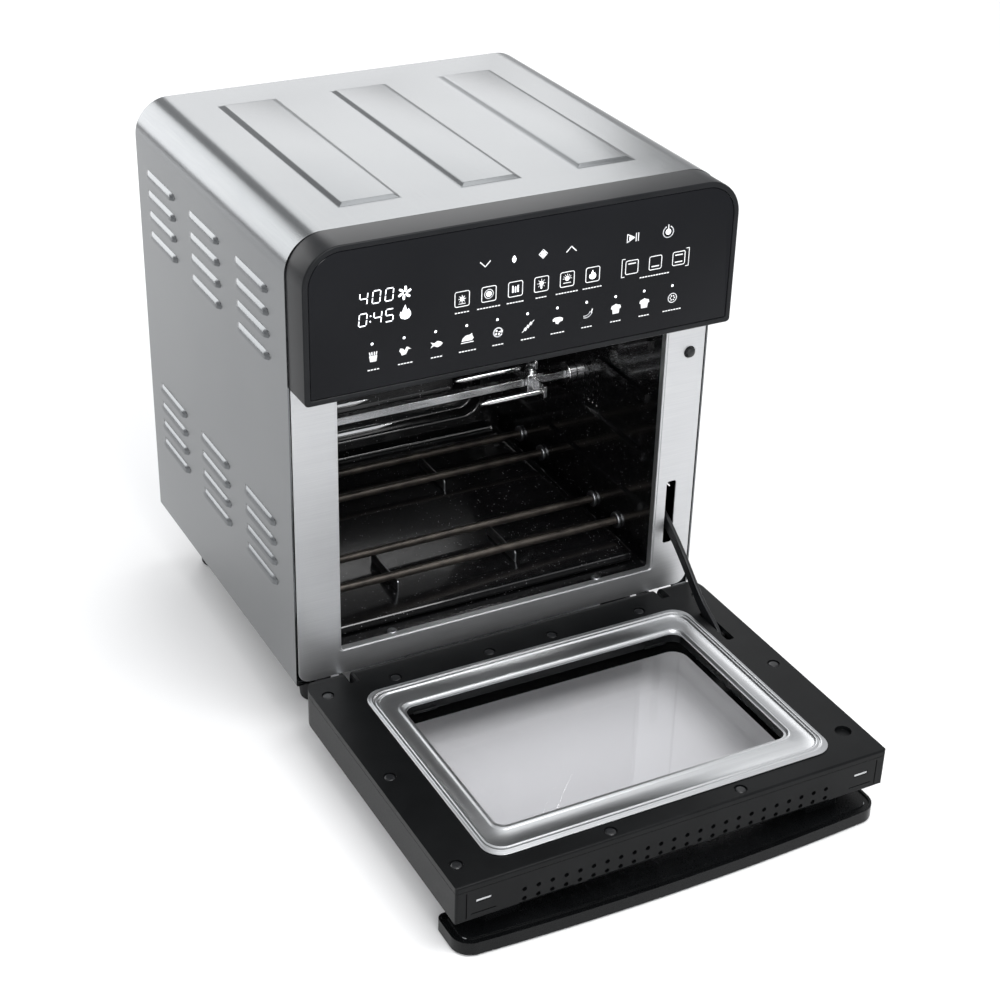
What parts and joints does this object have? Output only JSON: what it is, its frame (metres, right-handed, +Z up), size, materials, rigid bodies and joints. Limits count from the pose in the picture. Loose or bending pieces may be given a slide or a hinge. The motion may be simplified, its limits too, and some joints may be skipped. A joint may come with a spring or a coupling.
{
  "type": "air fryer oven",
  "caption": "Countertop air fryer oven: steel cabinet, touch panel over a drop-down glazed door that stands open, rotisserie spit with forks, ring heater and fan in the roof.",
  "frame": {"origin": "bottom centre of the object's box with the door open: worktop level, midway between the left and right sides and between the handle and the power inlet", "axes": "+X to the right seen from the front, +Y from the door to the back, +Z up"},
  "size_m": [0.33, 0.5624, 0.3945],
  "materials": {
    "brushed_steel": "brushed",
    "bright_steel": "brushed",
    "spit_steel": "polished",
    "galvanised": "satin",
    "enamel": "gloss enamel",
    "satin_black": "satin",
    "panel_glass": "gloss",
    "door_glass": "smoked, clear",
    "lens": "frosted",
    "foot_rubber": "matte",
    "heater": "oxidised",
    "board": "lacquered"
  },
  "bodies": {
    "cabinet": {"outer_shell": "brushed_steel", "front_frame": "bright_steel", "back_panel": "galvanised", "base_pan": "enamel", "foot_front_left": "foot_rubber", "foot_front_right": "foot_rubber", "foot_rear_left": "foot_rubber", "foot_rear_right": "foot_rubber", "cavity_collar": "enamel", "cavity_left_wall": "enamel", "cavity_right_wall": "enamel", "cavity_floor": "enamel", "cavity_rear_wall": "enamel", "cavity_roof": "enamel", "fan_drum": "galvanised", "upper_heating_element": "heater", "fan_guard": "galvanised", "fan_motor": "galvanised", "lower_heater_front": "heater", "lower_heater_rear": "heater", "crumb_tray": "enamel", "oven_lamp": "lens", "lamp_lens": "lens", "temperature_probe": "galvanised", "rotisserie_motor": "galvanised", "spit_rest": "spit_steel", "control_bezel": "satin_black", "control_glass": "panel_glass", "touch_board": "board", "power_board": "board", "power_inlet_gland": "foot_rubber", "door_switch_body": "satin_black", "hinge_bracket_left": "galvanised", "hinge_bracket_right": "galvanised"},
    "door": {"door_outer_frame": "satin_black", "door_outer_glass": "door_glass", "door_inner_cover": "satin_black", "door_window_frame": "bright_steel", "door_inner_glass": "door_glass", "door_handle": "satin_black", "handle_screw_left": "galvanised", "handle_screw_right": "galvanised", "hinge_pin_left": "galvanised", "hinge_pin_right": "galvanised", "stay_pin": "galvanised"},
    "stay_arm": {"stay_arm": "enamel"},
    "fan_wheel": {"fan_wheel": "galvanised"},
    "spit": {"drive_socket": "spit_steel", "spit_shaft": "spit_steel", "meat_fork_left": "spit_steel", "meat_fork_right": "spit_steel", "fork_screw_left": "spit_steel", "fork_screw_right": "spit_steel"},
    "door_switch_plunger": {"door_switch_plunger": "satin_black"}
  },
  "joints": [
    {"name": "door_hinge", "type": "hinge", "parent": "cabinet", "child": "door", "pos_m": [0, -0.03425, 0.0423], "axis": [-1, 0, 0], "range_deg": [0, 90]},
    {"name": "stay_arm_pivot", "type": "hinge", "parent": "door", "child": "stay_arm", "pos_m": [0.1435, -0.09425, 0.0495], "axis": [-1, 0, 0], "range_deg": [-90.5, 0.5]},
    {"name": "fan_spin", "type": "hinge", "parent": "cabinet", "child": "fan_wheel", "pos_m": [0, 0.12125, 0.3105], "axis": [0, 0, 1], "continuous": true},
    {"name": "rotisserie_spin", "type": "hinge", "parent": "cabinet", "child": "spit", "pos_m": [0, 0.12125, 0.1765], "axis": [1, 0, 0], "continuous": true},
    {"name": "door_switch_travel", "type": "slide", "parent": "cabinet", "child": "door_switch_plunger", "axis": [0, 1, 0], "range_m": [0, 0.0025]}
  ],
  "couplings": [
    {"joint": "stay_arm_pivot", "follows": "door_hinge", "ratio": -1},
    {"joint": "door_switch_travel", "follows": "door_hinge", "m_per_rad": 0.0015597}
  ]
}
